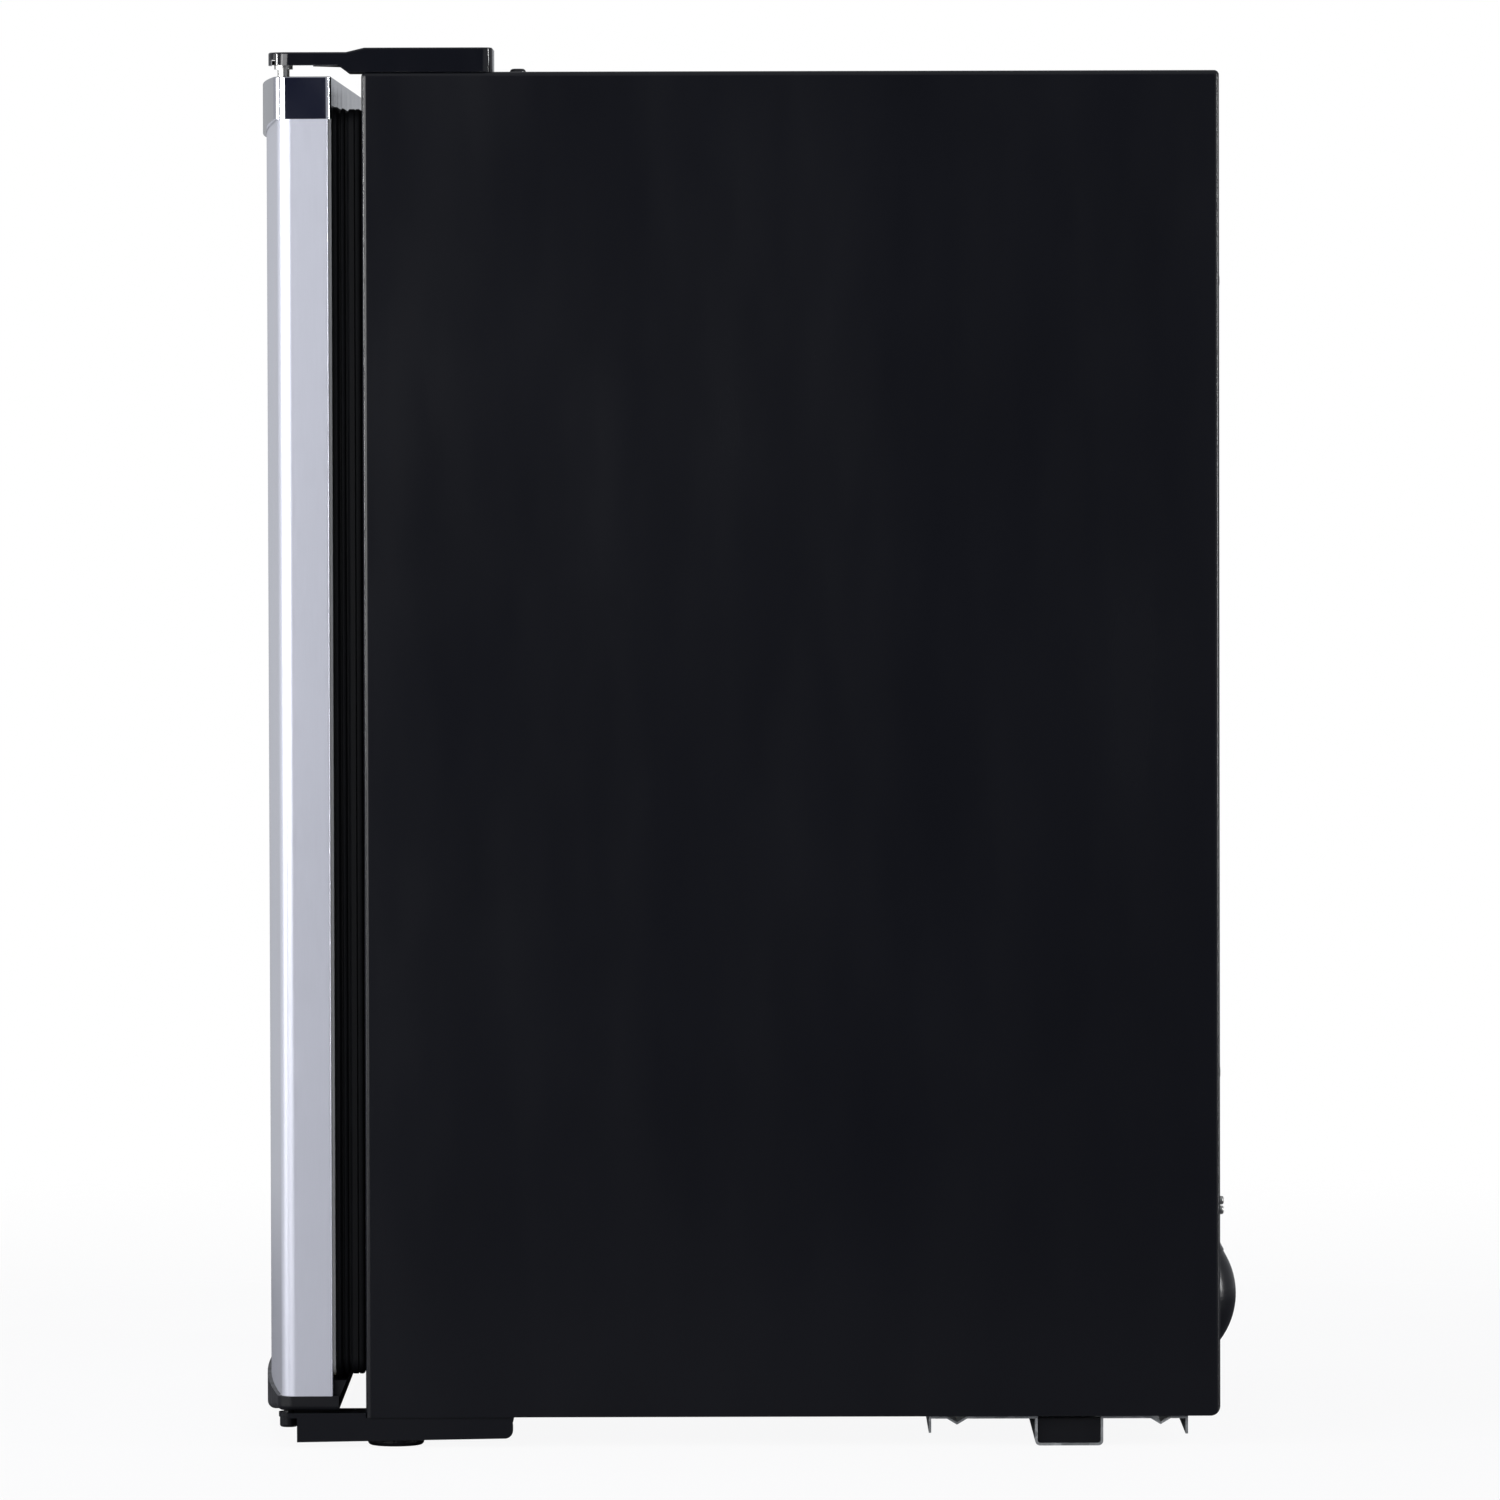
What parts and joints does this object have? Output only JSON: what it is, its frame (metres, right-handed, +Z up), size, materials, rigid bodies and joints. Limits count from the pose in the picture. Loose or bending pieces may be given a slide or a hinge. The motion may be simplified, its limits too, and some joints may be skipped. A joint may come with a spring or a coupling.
{
  "type": "mini fridge",
  "caption": "Compact single-door refrigerator with a bowed silver door, dark steel cabinet, corner hinges and a rear compressor.",
  "frame": {"origin": "centre of the bounding box's footprint, on the floor under the feet", "axes": "+Z up, -Y out of the door, +X towards the door's hinge side"},
  "size_m": [0.525, 0.5992, 0.8406],
  "materials": {
    "black_steel": "satin black paint",
    "galvanised": "galvanised",
    "zinc": "zinc plated",
    "silver_steel": "satin silver",
    "bright_cap": "bright plated",
    "black_plastic": "matte black",
    "gloss_black": "gloss black",
    "white_plastic": "satin white",
    "clear_plastic": "clear",
    "rubber": "matte",
    "foam": "rigid foam",
    "copper": "bare copper",
    "aluminium": "satin anodised",
    "glass": "clear toughened",
    "grey_plastic": "matte grey"
  },
  "bodies": {
    "cabinet": {"back_panel": "black_steel", "base_pan": "galvanised", "bottom_hinge_bracket": "black_steel", "bottom_hinge_pin": "black_steel", "bottom_hinge_screws": "zinc", "channel_plugs": "black_plastic", "compartment_panel": "galvanised", "compressor_feet": "black_steel", "compressor_grommets": "rubber", "compressor_lower_shell": "black_steel", "compressor_plate": "galvanised", "compressor_studs": "zinc", "compressor_upper_shell": "black_steel", "condenser_coils": "copper", "cord_gland": "rubber", "crisper_cover_glass": "glass", "drain_spout": "rubber", "evaporating_pan": "grey_plastic", "evaporator": "aluminium", "evaporator_hangers": "white_plastic", "filter_drier": "copper", "foam_insulation": "foam", "freezer_frame": "white_plastic", "front_rail": "black_steel", "glass_shelf_lower": "glass", "glass_shelf_upper": "glass", "hole_plugs": "gloss_black", "inner_liner": "white_plastic", "left_foot_plate": "black_steel", "outer_wrapper": "black_steel", "rear_screws": "zinc", "refrigerant_tubes": "copper", "shelf_trims": "white_plastic", "terminal_cover": "grey_plastic", "thermostat_housing": "white_plastic", "thermostat_sensor_tube": "copper", "thermostat_switch": "grey_plastic", "top_hinge_cover": "gloss_black", "top_hinge_pin": "zinc", "top_hinge_plate": "zinc", "top_hinge_screws": "zinc", "tray_runners": "white_plastic"},
    "freezer_flap": {"freezer_flap": "white_plastic", "freezer_flap_pins": "zinc"},
    "thermostat_knob": {"thermostat_knob": "white_plastic"},
    "drip_tray": {"drip_tray": "white_plastic"},
    "crisper_drawer": {"crisper_drawer": "clear_plastic"},
    "foot_right": {"levelling_foot_right": "black_plastic"},
    "foot_left": {"levelling_foot_left": "black_plastic"},
    "door": {"door_bottom_cap": "black_plastic", "door_bushes": "white_plastic", "door_foam": "foam", "door_gasket": "rubber", "door_liner": "white_plastic", "door_rack_bottom": "clear_plastic", "door_rack_middle": "clear_plastic", "door_rack_top": "clear_plastic", "door_skin": "silver_steel", "door_top_cap": "bright_cap", "gasket_magnets": "grey_plastic"}
  },
  "joints": [
    {"name": "door_hinge", "type": "hinge", "parent": "cabinet", "child": "door", "pos_m": [0.247, -0.2784, 0.4], "axis": [0, 0, 1], "range_deg": [0, 115]},
    {"name": "freezer_flap_hinge", "type": "hinge", "parent": "cabinet", "child": "freezer_flap", "pos_m": [-0.041, -0.092, 0.762], "axis": [-1, 0, 0], "range_deg": [0, 85]},
    {"name": "thermostat_turn", "type": "hinge", "parent": "cabinet", "child": "thermostat_knob", "pos_m": [0.176, -0.112, 0.736], "axis": [0, -1, 0], "range_deg": [0, 270]},
    {"name": "drip_tray_slide", "type": "slide", "parent": "cabinet", "child": "drip_tray", "axis": [0, -1, 0], "range_m": [0, 0.1]},
    {"name": "crisper_slide", "type": "slide", "parent": "cabinet", "child": "crisper_drawer", "axis": [0, -1, 0], "range_m": [0, 0.05]},
    {"name": "foot_right_turn", "type": "hinge", "parent": "cabinet", "child": "foot_right", "pos_m": [0.241, -0.214, 0.01], "axis": [0, 0, 1], "continuous": true},
    {"name": "foot_left_turn", "type": "hinge", "parent": "cabinet", "child": "foot_left", "pos_m": [-0.241, -0.214, 0.01], "axis": [0, 0, 1], "continuous": true}
  ]
}
